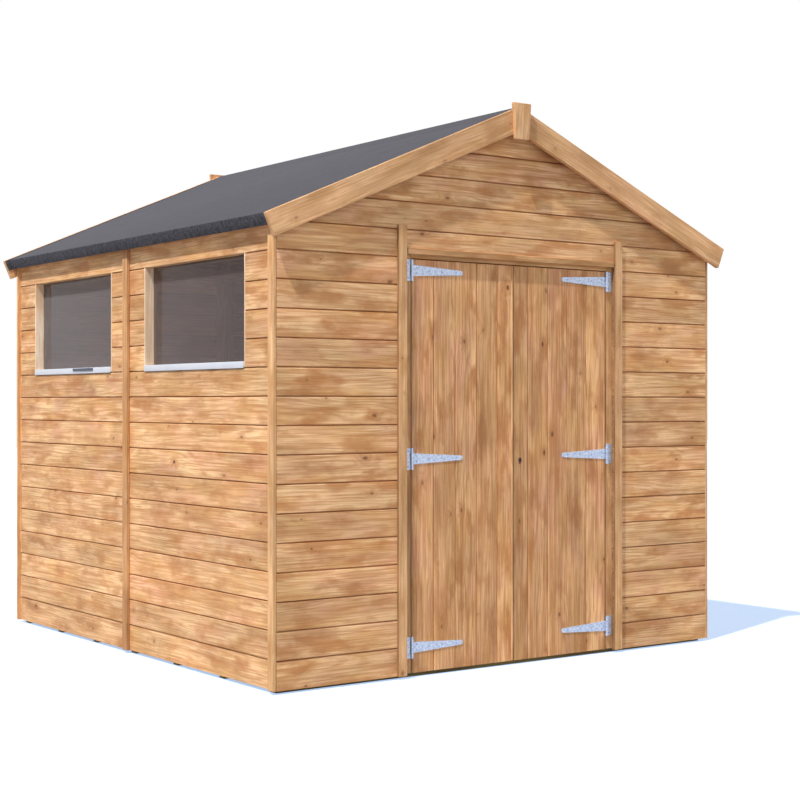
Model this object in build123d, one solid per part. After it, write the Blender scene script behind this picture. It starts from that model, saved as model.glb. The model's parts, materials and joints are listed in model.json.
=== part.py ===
"""Wooden garden shed with an apex roof, a felt covering and a pair of ledged doors.

Frame: +X to the right, the doors face -Y, +Z up. The origin is at ground level, under the middle.
Every solid is written to parts/NODE.step, one file for each node. Sizes are in millimetres.
"""

import os
from math import cos, radians, sin, tan

from build123d import *

# ---- Overall form --------------------------------------------------------------------------
wall_width = 2331.0          # outside of one side cladding to the outside of the other
wall_depth = 2475.0          # outside of the front cladding to the outside of the rear cladding
board_pitch = 112.0          # cover width of one cladding board
first_joint = 129.0          # height of the lowest joint between two cladding boards
panel_joints = 15            # boards between the lowest joint and the foot of the gables
roof_pitch = 23.1            # slope of the roof, in degrees
eaves_lift = 27.5            # foot of the gables up to the roof boards over the side cladding
panel_gap = 2.0              # gap between two framed panels that stand side by side
side_joint_y = 27.0          # joint of the two side panels, behind the middle of the shed

# ---- Floor ---------------------------------------------------------------------------------
bearer_width = 44.0
bearer_height = 44.0
bearer_count = 7
deck_thickness = 12.0
floor_side_inset = 16.0      # edge of the floor to the outside of the side cladding
floor_front_clearance = 6.0  # edge of the floor to the back of the closed leaves

# ---- Walls ---------------------------------------------------------------------------------
cladding_thickness = 12.0
cladding_foot = 13.0         # lowest edge of the cladding, above the ground
frame_depth = 34.0           # framing, measured through the wall
frame_face = 44.0            # framing, measured along the wall
cover_thickness = 16.0       # upright strips that cover the corners and the panel joints
corner_cover_width = 41.0
joint_cover_width = 46.0

# ---- Windows in the left wall --------------------------------------------------------------
window_width = 867.0         # hole in the cladding
window_joint_margin = 162.0  # joint of the side panels to the window hole
window_sill_joint = 10       # boards from the lowest joint up to the foot of the window
window_boards = 4            # boards that the window replaces
lining_thickness = 8.0       # upright boards that line the hole
glass_recess = 41.5          # outside of the cladding to the outside of the pane
pane_thickness = 3.0
pane_edge_gap = 0.25
bead_width = 14.0
bead_depth = 9.0
sill_height = 23.0
sill_lip_drop = 4.0          # lip of the sill, below the foot of the hole
sill_lip_depth = 6.0
catch_length = 216.0
catch_height = 12.0
catch_depth = 5.0
catch_top_inset = 2.0        # top of the sill down to the top of the catch
catch_shift = 141.0          # middle of the rear window forward to the middle of the catch

# ---- Doorway and doors ---------------------------------------------------------------------
doorway_width = 1074.0
doorway_shift = 11.0         # middle of the doorway, to the right of the middle of the wall
door_foot = 18.0             # lower edge of the leaves, above the ground
door_gap = 5.0               # gap round each leaf
door_board_thickness = 12.0
ledge_height = 90.0
ledge_thickness = 20.0
ledge_end_inset = 12.0
brace_width = 70.0
post_reveal = 34.0           # face of the door post that shows beside the leaf
door_cover_width = 42.0
door_cover_thickness = 12.0
door_cover_rise = 13.0       # foot of the gable up to the top of the cover strips
head_strip_height = 25.0
head_strip_drop = 76.0       # foot of the gable down to the foot of the board over the doors
head_strip_thickness = 20.0
head_strip_end_gap = 5.0
head_strip_clearance = 20.0  # foot of the head strip down to the top of the leaves
hinge_foot_inset = 103.0     # foot of a leaf up to the middle of its lowest hinge
hinge_top_inset = 44.0       # top of a leaf down to the middle of its highest hinge
post_notch_gap = 0.5         # edge of the floor to the notch in a door post

# ---- Hinges --------------------------------------------------------------------------------
hinge_plate_height = 86.0
hinge_plate_width = 33.0
hinge_sheet = 2.5
strap_length = 262.0
strap_root = 45.0
strap_tip = 19.0
knuckle_radius = 5.75
knuckle_stand_off = 6.0      # leaf face to the hinge axis
knuckle_gap = 0.5
pin_radius = 3.0
pin_seat_gap = 0.05
pin_running_gap = 0.1
pin_head_radius = 4.4
pin_head_height = 1.6

# ---- Lock ----------------------------------------------------------------------------------
lock_drop = 14.0             # middle of the middle ledge down to the middle of the lock
lock_width = 76.0
lock_case_height = 62.0
lock_depth = 16.0
lock_edge_inset = 4.0
keyhole_inset = 36.0
keyhole_radius = 4.0
keyhole_slot = 9.0

# ---- Roof ----------------------------------------------------------------------------------
roof_board_thickness = 11.0
felt_thickness = 3.0
eaves_reach = 48.3           # outside of the side cladding to the lower edge of the roof boards
eaves_batten_width = 20.0    # measured along the slope
eaves_batten_depth = 30.0    # measured square to the slope
eaves_fold = 35.5            # felt that hangs below the roof boards at the eaves
verge_gap = 28.0             # gable cladding to the back of the bargeboard
verge_batten_depth = 38.0
bargeboard_thickness = 20.0
bargeboard_depth = 97.0
bargeboard_upstand = 4.0     # bargeboard edge above the felt, square to the slope
bargeboard_reach = 76.0      # outside of the side cladding to the tip of the bargeboard
roof_batten_width = 34.0
roof_batten_depth = 44.0
roof_batten_place = 0.52     # place of the middle batten, from the ridge down the slope
truss_thickness = 34.0
truss_rafter_depth = 58.0
truss_tie_depth = 58.0
truss_tie_drop = 297.0       # underside of the roof boards at the ridge down to the foot of the tie
finial_top_width = 93.0
finial_foot_width = 72.0
finial_height = 153.0
finial_thickness = 18.0
finial_rise = 12.0           # top of the finial above the bargeboards
ridge_strip_reach = 150.0    # ridge strip of felt, from the ridge out over each slope
ridge_strip_rise = 5.0       # top of the ridge strip above the felt at the ridge
mitre_gap = 1.0

# ---- Worked-out places ---------------------------------------------------------------------
slope = tan(radians(roof_pitch))
slope_cos = cos(radians(roof_pitch))
slope_sin = sin(radians(roof_pitch))

wall_x = wall_width / 2
wall_y = wall_depth / 2
frame_x = wall_x - cladding_thickness
frame_y = wall_y - cladding_thickness
inner_x = frame_x - frame_depth
inner_y = frame_y - frame_depth

floor_top = bearer_height + deck_thickness
gable_foot = first_joint + panel_joints * board_pitch
eaves_z = gable_foot + eaves_lift
ridge_z = eaves_z + wall_x * slope
truss_tie_foot = ridge_z - truss_tie_drop
window_foot = first_joint + window_sill_joint * board_pitch
window_top = window_foot + window_boards * board_pitch
door_x = doorway_width / 2
door_top = gable_foot - head_strip_drop - head_strip_height - head_strip_clearance
leaf_width = (doorway_width - 3 * door_gap) / 2
hinge_foot = door_foot + hinge_foot_inset
hinge_top = door_top - hinge_top_inset
hinge_heights = (hinge_foot, (hinge_foot + hinge_top) / 2, hinge_top)
lock_z = hinge_heights[1] - lock_drop
leaf_face = frame_y
leaf_back = leaf_face - door_board_thickness
ledge_back = leaf_back - ledge_thickness
floor_x = wall_x - floor_side_inset
floor_y = leaf_back - floor_front_clearance
cover_x = door_x + post_reveal
post_x = cover_x + door_cover_width
left_post_x = doorway_shift - post_x
right_post_x = doorway_shift + post_x
hinge_axis_x = door_x - door_gap / 2
hinge_axis_y = leaf_face + knuckle_stand_off
eaves_run = (wall_x + eaves_reach) / slope_cos
board_end_y = wall_y + verge_gap
bargeboard_y = board_end_y + bargeboard_thickness


# ---- Shape helpers -------------------------------------------------------------------------
def block(x0, x1, y0, y1, z0, z1):
    """Box between two corners."""
    size = Box(abs(x1 - x0), abs(y1 - y0), abs(z1 - z0))
    return Pos((x0 + x1) / 2, (y0 + y1) / 2, (z0 + z1) / 2) * size


def profile_along_y(points, y0, y1):
    """Prism whose section in the XZ plane has the given corners."""
    face = make_face(Polyline(*points, close=True))
    placed = Plane((0, min(y0, y1), 0), x_dir=(1, 0, 0), z_dir=(0, -1, 0)) * face
    return extrude(placed, amount=-abs(y1 - y0))


def roof_line(x, square_offset=0.0):
    """Height of the underside of the roof boards at x, moved square to the slope."""
    return ridge_z + square_offset / slope_cos - abs(x) * slope


def on_slope(along, square_offset):
    """Point this far down the right-hand slope from the ridge, moved square to the slope."""
    x = along * slope_cos + square_offset * slope_sin
    return x, roof_line(x, square_offset)


def under_roof(solid, square_offset=0.0):
    """Trim a solid to what lies under the roof boards."""
    reach = wall_width
    foot = -100.0
    outline = [
        (-reach, foot),
        (reach, foot),
        (reach, roof_line(reach, square_offset)),
        (0, roof_line(0, square_offset)),
        (-reach, roof_line(reach, square_offset)),
    ]
    return solid & profile_along_y(outline, -wall_depth, wall_depth)


def slope_band(low_offset, high_offset, x0, x1, y0, y1):
    """Slab between two lines parallel to the right-hand slope, with plumb ends."""
    outline = [
        (x0, roof_line(x0, low_offset)),
        (x1, roof_line(x1, low_offset)),
        (x1, roof_line(x1, high_offset)),
        (x0, roof_line(x0, high_offset)),
    ]
    return profile_along_y(outline, y0, y1)


def eaves_board(low_offset, high_offset, x0, along_end, y0, y1):
    """Slab on the right-hand slope, plumb at x0 and cut square at its lower edge."""
    outline = [
        (x0, roof_line(x0, low_offset)),
        on_slope(along_end, low_offset),
        on_slope(along_end, high_offset),
        (x0, roof_line(x0, high_offset)),
    ]
    return profile_along_y(outline, y0, y1)


def mirrored_x(solid):
    return mirror(solid, about=Plane.YZ)


def mirrored_y(solid):
    return mirror(solid, about=Plane.XZ)


def both_sides(solid):
    """The solid and its mirror image across the middle of the shed."""
    return [solid, mirrored_x(solid)]


def at_doorway(*solids):
    """Solids drawn about the middle of the doorway, moved to its place in the wall."""
    return [Pos(doorway_shift, 0, 0) * solid for solid in solids]


def both_ends(solid):
    """The solid and its mirror image at the other end of the shed."""
    return [solid, mirrored_y(solid)]


def all_corners(solid):
    return [piece for side in both_sides(solid) for piece in both_ends(side)]


nodes = {}


def node(name, *solids):
    """Keep the solids of one node under its name."""
    pieces = []
    for item in solids:
        if isinstance(item, (list, tuple)):
            pieces.extend(item)
        else:
            pieces.append(item)
    found = [solid for piece in pieces for solid in piece.solids()]
    nodes[name] = found[0] if len(found) == 1 else Compound(children=found)


# ---- Floor ---------------------------------------------------------------------------------
# Bearers lie on the ground from side to side and carry the boarded floor. The floor stops
# short of the front, because the leaves close in front of its edge.
bearer_step = (2 * floor_y - bearer_width) / (bearer_count - 1)
bearers = []
for index in range(bearer_count):
    low_y = -floor_y + index * bearer_step
    bearers.append(block(-floor_x, floor_x, low_y, low_y + bearer_width, 0, bearer_height))
node("floor_bearers", bearers)
node("floor_deck", block(-floor_x, floor_x, -floor_y, floor_y, bearer_height, floor_top))


# ---- Front wall ----------------------------------------------------------------------------
# Two boarded panels stand beside the doorway and the gable is boarded as one piece above.
head_foot = gable_foot - head_strip_drop
left_panel_end = doorway_shift - cover_x
right_panel_end = doorway_shift + cover_x
node(
    "front_cladding_left",
    block(-wall_x, left_panel_end, -wall_y, -frame_y, cladding_foot, gable_foot),
)
node(
    "front_cladding_right",
    block(right_panel_end, wall_x, -wall_y, -frame_y, cladding_foot, gable_foot),
)
gable = under_roof(block(-wall_x, wall_x, -wall_y, -frame_y, gable_foot, ridge_z))
node("front_gable_cladding", gable)
head_board = block(-cover_x, cover_x, -wall_y, -frame_y, head_foot, gable_foot)
node("door_head_board", at_doorway(head_board))

# The door posts show beside the leaves. They stand on the floor, notched over its edge.
post = block(-post_x, -door_x, -frame_y, -inner_y, door_foot, gable_foot - frame_face)
notch = block(-post_x, -door_x, -floor_y - post_notch_gap, -inner_y, 0, floor_top)
node("door_posts", at_doorway(*both_sides(post - notch)))

# Cover strips lie over the ends of the boards, and a strip hides the gap over the leaves.
cover_y = wall_y + door_cover_thickness
cover_top = gable_foot + door_cover_rise
cover = block(-post_x, -cover_x, -cover_y, -wall_y, cladding_foot, cover_top)
node("door_cover_strips", at_doorway(*both_sides(cover)))
strip_x = cover_x - head_strip_end_gap
strip_y = frame_y + head_strip_thickness
strip_foot = head_foot - head_strip_height
head_strip = block(-strip_x, strip_x, -strip_y, -frame_y, strip_foot, head_foot)
node("door_head_strip", at_doorway(head_strip))

# Framing behind the boards: rails lie between the posts and a tie runs under the gable.
rail_top = floor_top + frame_face
tie_foot = gable_foot - frame_face
tie_top = gable_foot + frame_face / 2
corner_post = block(-frame_x, -frame_x + frame_face, -frame_y, -inner_y, rail_top, tie_foot)
middle_post = block(-frame_face / 2, frame_face / 2, -frame_y, -inner_y, rail_top, tie_foot)
node(
    "front_frame_posts",
    both_sides(corner_post),
    Pos((left_post_x - frame_x) / 2, 0, 0) * middle_post,
    Pos((right_post_x + frame_x) / 2, 0, 0) * middle_post,
)
left_foot_rail = block(-frame_x, left_post_x, -frame_y, -inner_y, floor_top, rail_top)
right_foot_rail = block(right_post_x, frame_x, -frame_y, -inner_y, floor_top, rail_top)
door_head = door_top + door_gap
head_rail = block(-door_x, door_x, -frame_y, -inner_y, door_head, door_head + frame_face)
tie_rail = under_roof(block(-frame_x, frame_x, -frame_y, -inner_y, tie_foot, tie_top))
node("front_frame_rails", left_foot_rail, right_foot_rail, at_doorway(head_rail), tie_rail)


# ---- Rear wall -----------------------------------------------------------------------------
# Two boarded panels meet in the middle under a cover strip.
rear_panel = block(mitre_gap / 2, wall_x, frame_y, wall_y, cladding_foot, gable_foot)
node("rear_cladding", both_sides(rear_panel))
node("rear_gable_cladding", mirrored_y(gable))
half_cover = joint_cover_width / 2
rear_cover_y = wall_y + cover_thickness
rear_cover = block(-half_cover, half_cover, wall_y, rear_cover_y, cladding_foot, gable_foot)
rear_middle_post = block(
    panel_gap / 2, panel_gap / 2 + frame_face, inner_y, frame_y, rail_top, tie_foot
)
rear_half_x = frame_x / 2
rear_half_post = block(
    rear_half_x - frame_face / 2, rear_half_x + frame_face / 2, inner_y, frame_y, rail_top, tie_foot
)
node(
    "rear_frame_posts",
    both_sides(mirrored_y(corner_post)),
    both_sides(rear_middle_post),
    both_sides(rear_half_post),
)
rear_rail = block(panel_gap / 2, frame_x, inner_y, frame_y, floor_top, rail_top)
node("rear_frame_rails", both_sides(rear_rail), mirrored_y(tie_rail))


# ---- Gable framing -------------------------------------------------------------------------
# Sloping rafters stand on the tie, under the roof boards, with a short post in the middle.
rafter_inner_x = mitre_gap / 2
rafter = slope_band(-frame_face, 0, rafter_inner_x, frame_x, -frame_y, -inner_y)
rafter = rafter - block(0, wall_x, -frame_y, -inner_y, 0, tie_top)
node("gable_rafters", all_corners(rafter))
king_post = under_roof(
    block(-frame_face / 2, frame_face / 2, -frame_y, -inner_y, tie_top, ridge_z), -frame_face
)
node("gable_posts", both_ends(king_post))


# ---- Side walls ----------------------------------------------------------------------------
# Each side has a front and a rear panel, as long as the space between the gables. The left
# panels are cut through for a window. Every piece is drawn as a front panel's, whose far end is
# at joint_y, and the rear panels are mirrored from that.
plate_foot = gable_foot - frame_face / 4
right_mid = (rail_top + plate_foot) / 2


def both_panels(make):
    """Pieces of the front and the rear panel, from a function of the joint's place."""
    rear = [mirrored_y(item) for item in make(-side_joint_y)]
    return make(side_joint_y) + rear


def window_span(joint_y):
    """The two edges of the window hole."""
    near = joint_y - window_joint_margin
    return near - window_width, near


def side_panel(x_sign, joint_y):
    end_y = joint_y - mitre_gap / 2
    slab = block(x_sign * frame_x, x_sign * wall_x, -frame_y, end_y, cladding_foot, ridge_z)
    return under_roof(slab)


def left_panel(joint_y):
    y0, y1 = window_span(joint_y)
    return [side_panel(-1, joint_y) - block(-wall_x, -frame_x, y0, y1, window_foot, window_top)]


front_left_panel, rear_left_panel = both_panels(left_panel)
node("left_front_cladding", front_left_panel)
node("left_rear_cladding", rear_left_panel)
node("right_cladding", both_panels(lambda joint_y: [side_panel(1, joint_y)]))


def side_post(x_sign, y0):
    return block(x_sign * inner_x, x_sign * frame_x, y0, y0 + frame_face, rail_top, plate_foot)


def side_rail(x_sign, y0, y1, z0, z1):
    return under_roof(block(x_sign * inner_x, x_sign * frame_x, y0, y1, z0, z1))


def side_posts(joint_y):
    y0, y1 = window_span(joint_y)
    end_y = joint_y - panel_gap / 2 - frame_face
    middle_y = (end_y - inner_y) / 2
    left = [side_post(-1, place) for place in (-inner_y, y0 - frame_face, y1, end_y)]
    return left + [side_post(1, place) for place in (-inner_y, middle_y, end_y)]


def side_rails(joint_y):
    y0, y1 = window_span(joint_y)
    end_y = joint_y - panel_gap / 2
    middle_y = (end_y - frame_face - inner_y) / 2
    rails = [
        side_rail(-1, y0, y1, window_foot - frame_face, window_foot),
        side_rail(-1, y0, y1, window_top, window_top + frame_face),
        side_rail(1, -inner_y + frame_face, middle_y, right_mid, right_mid + frame_face),
        side_rail(1, middle_y + frame_face, end_y - frame_face, right_mid, right_mid + frame_face),
    ]
    for x_sign in (-1, 1):
        rails.append(side_rail(x_sign, -inner_y, end_y, floor_top, rail_top))
        rails.append(side_rail(x_sign, -inner_y, end_y, plate_foot, ridge_z))
    return rails


node("side_frame_posts", both_panels(side_posts))
node("side_frame_rails", both_panels(side_rails))

# Upright cover strips: one at each corner and one over each joint. The front ones lie on the
# side walls, flush with the gable, and the rear ones lie on the rear wall and reach past it.
cover_out_x = wall_x + cover_thickness
front_corner = block(
    wall_x, cover_out_x, -wall_y, -wall_y + corner_cover_width, cladding_foot, ridge_z
)
rear_corner = block(
    cover_out_x - corner_cover_width, cover_out_x, wall_y, rear_cover_y, cladding_foot, ridge_z
)
node(
    "corner_strips",
    both_sides(under_roof(front_corner)),
    both_sides(under_roof(rear_corner, -verge_batten_depth)),
)
joint_cover = block(
    wall_x,
    cover_out_x,
    side_joint_y - half_cover,
    side_joint_y + half_cover,
    cladding_foot,
    ridge_z,
)
node("joint_cover_strips", both_sides(under_roof(joint_cover)), rear_cover)


# ---- Windows -------------------------------------------------------------------------------
# Upright boards line each hole. The pane sits deep between them, held by a bead on the room
# side, over a light sill strip whose lip hangs over the wall.
pane_out_x = wall_x - glass_recess
pane_in_x = pane_out_x - pane_thickness
bead_in_x = pane_in_x - bead_depth


def linings(joint_y):
    y0, y1 = window_span(joint_y)
    low = block(-wall_x, -inner_x, y0, y0 + lining_thickness, window_foot, window_top)
    return [low, Pos(0, window_width - lining_thickness, 0) * low]


def clear_span(joint_y):
    """The two edges of the opening between the linings."""
    y0, y1 = window_span(joint_y)
    return y0 + lining_thickness, y1 - lining_thickness


def pane(joint_y):
    y0, y1 = clear_span(joint_y)
    return [
        block(
            -pane_out_x,
            -pane_in_x,
            y0 + pane_edge_gap,
            y1 - pane_edge_gap,
            window_foot + pane_edge_gap,
            window_top - pane_edge_gap,
        )
    ]


def level_beads(joint_y):
    y0, y1 = clear_span(joint_y)
    low = block(-pane_in_x, -bead_in_x, y0, y1, window_foot, window_foot + bead_width)
    return [low, Pos(0, 0, window_top - window_foot - bead_width) * low]


def upright_beads(joint_y):
    y0, y1 = clear_span(joint_y)
    z0 = window_foot + bead_width
    low = block(-pane_in_x, -bead_in_x, y0, y0 + bead_width, z0, window_top - bead_width)
    return [low, Pos(0, y1 - y0 - bead_width, 0) * low]


sill_top = window_foot + sill_height


def sill(joint_y):
    y0, y1 = clear_span(joint_y)
    ledge = block(-wall_x, -pane_out_x, y0, y1, window_foot, sill_top)
    lip = block(-wall_x - sill_lip_depth, -wall_x, y0, y1, window_foot - sill_lip_drop, sill_top)
    return [ledge + lip]


node("window_linings", both_panels(linings))
node("window_panes", both_panels(pane))
node("window_level_beads", both_panels(level_beads))
node("window_upright_beads", both_panels(upright_beads))
node("window_sills", both_panels(sill))

# A long dark grip on the lip of the rear window's sill.
rear_window_y = side_joint_y + window_joint_margin + window_width / 2
catch_y = rear_window_y - catch_shift
catch_top = sill_top - catch_top_inset
catch_x = wall_x + sill_lip_depth
node(
    "window_catch",
    block(
        -catch_x - catch_depth,
        -catch_x,
        catch_y - catch_length / 2,
        catch_y + catch_length / 2,
        catch_top - catch_height,
        catch_top,
    ),
)


# ---- Roof ----------------------------------------------------------------------------------
# Boards on each slope, in a front and a rear sheet that meet over the truss.
sheet = eaves_board(
    0, roof_board_thickness, mitre_gap / 2, eaves_run, -board_end_y, -mitre_gap / 2
)
node("roof_boards_right", both_ends(sheet))
node("roof_boards_left", both_ends(mirrored_x(sheet)))

# Battens under each sheet, along the ridge and part-way down the slope.
truss_y = truss_thickness / 2
slope_run = inner_x / slope_cos


def roof_batten(along_slope):
    """Batten under the right-hand slope, its upper edge this far down from the ridge."""
    x0 = along_slope * slope_cos
    x1 = x0 + roof_batten_width * slope_cos
    return slope_band(-roof_batten_depth, 0, x0, x1, -inner_y, -truss_y)


battens = []
for along_slope in (mitre_gap, roof_batten_place * slope_run):
    battens.extend(all_corners(roof_batten(along_slope)))
node("roof_battens", battens)

# The truss carries the middle of the roof: two rafters and a tie between their undersides.
truss_rafter = slope_band(-truss_rafter_depth, 0, mitre_gap / 2, inner_x, -truss_y, truss_y)
node("truss_rafters", both_sides(truss_rafter))
truss_tie = block(
    -wall_x, wall_x, -truss_y, truss_y, truss_tie_foot, truss_tie_foot + truss_tie_depth
)
node("truss_tie", under_roof(truss_tie, -truss_rafter_depth))

# Battens under the overhanging edges, behind the felt and behind the bargeboards.
batten_run = eaves_run - eaves_batten_width
eaves_batten_outline = [
    on_slope(batten_run, 0),
    on_slope(eaves_run, 0),
    on_slope(eaves_run, -eaves_batten_depth),
    on_slope(batten_run, -eaves_batten_depth),
]
eaves_batten = profile_along_y(eaves_batten_outline, -board_end_y, board_end_y)
verge_batten = eaves_board(
    -verge_batten_depth, 0, mitre_gap, batten_run - mitre_gap, -board_end_y, -wall_y
)
node("roof_edge_battens", both_sides(eaves_batten), all_corners(verge_batten))

# Felt lies on the boards and is folded down over their edge, square to the slope.
felt_low = roof_board_thickness
felt_high = roof_board_thickness + felt_thickness
fold_run = eaves_run + felt_thickness
felt_outline = [
    (0, roof_line(0, felt_low)),
    on_slope(eaves_run, felt_low),
    on_slope(eaves_run, -eaves_fold),
    on_slope(fold_run, -eaves_fold),
    on_slope(fold_run, felt_high),
    (0, roof_line(0, felt_high)),
]
felt = profile_along_y(felt_outline, -board_end_y, board_end_y)
node("roof_felt_right", felt)
node("roof_felt_left", mirrored_x(felt))

# A second strip of felt is lapped over the ridge, where it lies a little proud.
ridge_strip_outline = [
    (-ridge_strip_reach, roof_line(ridge_strip_reach, felt_high)),
    (0, roof_line(0, felt_high)),
    (ridge_strip_reach, roof_line(ridge_strip_reach, felt_high)),
    (ridge_strip_reach, roof_line(ridge_strip_reach, felt_high + felt_thickness)),
    (0, roof_line(0, felt_high) + ridge_strip_rise),
    (-ridge_strip_reach, roof_line(ridge_strip_reach, felt_high + felt_thickness)),
]
node("ridge_felt_strip", profile_along_y(ridge_strip_outline, -board_end_y, board_end_y))

# Bargeboards close the ends of the roof: plumb at the ridge and cut square at the tip.
edge_offset = felt_high + bargeboard_upstand
tip_x = wall_x + bargeboard_reach
tip_z = roof_line(tip_x, edge_offset)
bargeboard_outline = [
    (mitre_gap / 2, roof_line(mitre_gap / 2, edge_offset)),
    (tip_x, tip_z),
    (tip_x - bargeboard_depth * slope_sin, tip_z - bargeboard_depth * slope_cos),
    (mitre_gap / 2, roof_line(mitre_gap / 2, edge_offset - bargeboard_depth)),
]
bargeboard = profile_along_y(bargeboard_outline, -bargeboard_y, -board_end_y)
node("front_bargeboards", both_sides(bargeboard))
node("rear_bargeboards", both_sides(mirrored_y(bargeboard)))

# A tapered finial block covers the mitre at each end.
finial_top = roof_line(0, edge_offset) + finial_rise
finial_outline = [
    (-finial_top_width / 2, finial_top),
    (-finial_foot_width / 2, finial_top - finial_height),
    (finial_foot_width / 2, finial_top - finial_height),
    (finial_top_width / 2, finial_top),
]
finial = profile_along_y(finial_outline, -bargeboard_y - finial_thickness, -bargeboard_y)
node("finials", both_ends(finial))


# ---- Hinges --------------------------------------------------------------------------------
# T-hinges, drawn for the left leaf with the hinge axis on Z and the leaf face at y = 6. The
# plate carries the outer knuckles and the strap carries the middle one.
face_y = knuckle_stand_off
strap_knuckle = strap_root
outer_knuckle = (hinge_plate_height - strap_knuckle - 2 * knuckle_gap) / 2
slot_half = strap_knuckle / 2 + knuckle_gap


def knuckle(z0, z1, bore_radius):
    """One rolled knuckle, with the web that joins it to the sheet behind."""
    ring = Circle(knuckle_radius) - Circle(bore_radius)
    return Pos(0, 0, z0) * extrude(ring, amount=z1 - z0)


def hinge_plate():
    """Plate on the door post with its two outer knuckles."""
    inner_edge = -knuckle_radius / 2
    sheet_y = face_y - hinge_sheet
    half = hinge_plate_height / 2
    sheet_solid = block(-hinge_plate_width, inner_edge, sheet_y, face_y, -half, half)
    slot = block(
        -knuckle_radius - 2 * knuckle_gap, knuckle_radius, sheet_y, face_y, -slot_half, slot_half
    )
    bore = pin_radius + pin_seat_gap
    solid = sheet_solid - slot
    for z0, z1 in ((-half, -half + outer_knuckle), (half - outer_knuckle, half)):
        hole = Pos(0, 0, z0) * extrude(Circle(bore), amount=z1 - z0)
        solid = (solid - hole) + knuckle(z0, z1, bore)
    return solid


def hinge_strap():
    """Tapered strap with a round end, on the leaf, with the middle knuckle."""
    tip = strap_tip / 2
    root = strap_root / 2
    tip_centre = strap_length - tip
    outline = make_face(
        Line((knuckle_radius / 2, -root), (tip_centre, -tip))
        + ThreePointArc((tip_centre, -tip), (strap_length, 0), (tip_centre, tip))
        + Line((tip_centre, tip), (knuckle_radius / 2, root))
        + Line((knuckle_radius / 2, root), (knuckle_radius / 2, -root))
    )
    placed = Plane((0, face_y, 0), x_dir=(1, 0, 0), z_dir=(0, -1, 0)) * outline
    bore = pin_radius + pin_running_gap
    hole = Pos(0, 0, -root) * extrude(Circle(bore), amount=2 * root)
    return (extrude(placed, amount=hinge_sheet) - hole) + knuckle(-root, root, bore)


def hinge_pin():
    """Pin with a bevelled head riveted over each end of the knuckles."""
    half = hinge_plate_height / 2
    head = Pos(0, 0, half) * extrude(Circle(pin_head_radius), amount=pin_head_height)
    rim = head.edges().filter_by(GeomType.CIRCLE).sort_by(Axis.Z)[-1]
    head = chamfer(rim, length=pin_head_height / 2)
    shank = Pos(0, 0, -half) * extrude(Circle(pin_radius), amount=2 * half)
    return shank + head + Rot(180, 0, 0) * head


def at_left_hinges(solid):
    """Copies of a hinge piece at the three hinges of the left leaf."""
    return [Pos(-hinge_axis_x, -hinge_axis_y, height) * solid for height in hinge_heights]


plates = at_left_hinges(hinge_plate())
straps = at_left_hinges(hinge_strap())
pins = at_left_hinges(hinge_pin())
node("hinge_plates", at_doorway(*plates, *[mirrored_x(item) for item in plates]))
node("hinge_pins", at_doorway(*pins, *[mirrored_x(item) for item in pins]))
node("left_door_straps", at_doorway(*straps))
node("right_door_straps", at_doorway(*[mirrored_x(item) for item in straps]))


# ---- Doors ---------------------------------------------------------------------------------
# Each leaf is upright boards on three ledges with two braces that rise from the hinge side.
leaf_x0 = -door_x + door_gap
leaf_x1 = leaf_x0 + leaf_width
leaf_boards = block(leaf_x0, leaf_x1, -leaf_face, -leaf_back, door_foot, door_top)
node("left_door_boards", at_doorway(leaf_boards))

ledge_x0 = leaf_x0 + ledge_end_inset
ledge_x1 = leaf_x1 - ledge_end_inset
ledges = []
for height in hinge_heights:
    low = height - ledge_height / 2
    ledges.append(block(ledge_x0, ledge_x1, -leaf_back, -ledge_back, low, low + ledge_height))


def brace(z0, z1):
    """Diagonal between two ledges, low at the hinge side, cut level at both ends."""
    rise = z1 - z0
    run = (ledge_x1 - ledge_x0) - brace_width * 1.4
    level_width = brace_width * ((rise**2 + run**2) ** 0.5) / rise
    outline = [
        (ledge_x0, z0),
        (ledge_x0 + level_width, z0),
        (ledge_x1, z1),
        (ledge_x1 - level_width, z1),
    ]
    return profile_along_y(outline, -leaf_back, -ledge_back)


node("left_door_ledges", at_doorway(*ledges))
braces = []
for low, high in zip(hinge_heights, hinge_heights[1:]):
    braces.append(brace(low + ledge_height / 2, high - ledge_height / 2))
node("left_door_braces", at_doorway(*braces))
node("right_door_braces", at_doorway(*[mirrored_x(item) for item in braces]))

# The right leaf mirrors the left one, and is pierced by the keyhole of its lock.
right_edge = -leaf_x1
key_x = right_edge + keyhole_inset
keyway = block(
    key_x - keyhole_radius / 2,
    key_x + keyhole_radius / 2,
    -leaf_face,
    -ledge_back,
    lock_z - keyhole_slot,
    lock_z,
)
keyway = keyway + Pos(key_x, -ledge_back, lock_z) * extrude(
    Plane.XZ * Circle(keyhole_radius), amount=leaf_face - ledge_back
)
node("right_door_boards", at_doorway(mirrored_x(leaf_boards) - keyway))
node("right_door_ledges", at_doorway(*[mirrored_x(item) - keyway for item in ledges]))
lock_x0 = right_edge + ledge_end_inset + lock_edge_inset
lock_case = block(
    lock_x0,
    lock_x0 + lock_width,
    -ledge_back,
    -ledge_back + lock_depth,
    lock_z - lock_case_height / 2,
    lock_z + lock_case_height / 2,
)
node("door_lock", at_doorway(lock_case))


# ---- Output --------------------------------------------------------------------------------
os.makedirs("parts", exist_ok=True)
for name, shape in nodes.items():
    export_step(shape, "parts/" + name + ".step")
print(len(nodes), "nodes")
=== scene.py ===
"""Looks of the wooden garden shed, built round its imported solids. Sizes in metres."""
import json
import math
import random

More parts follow.
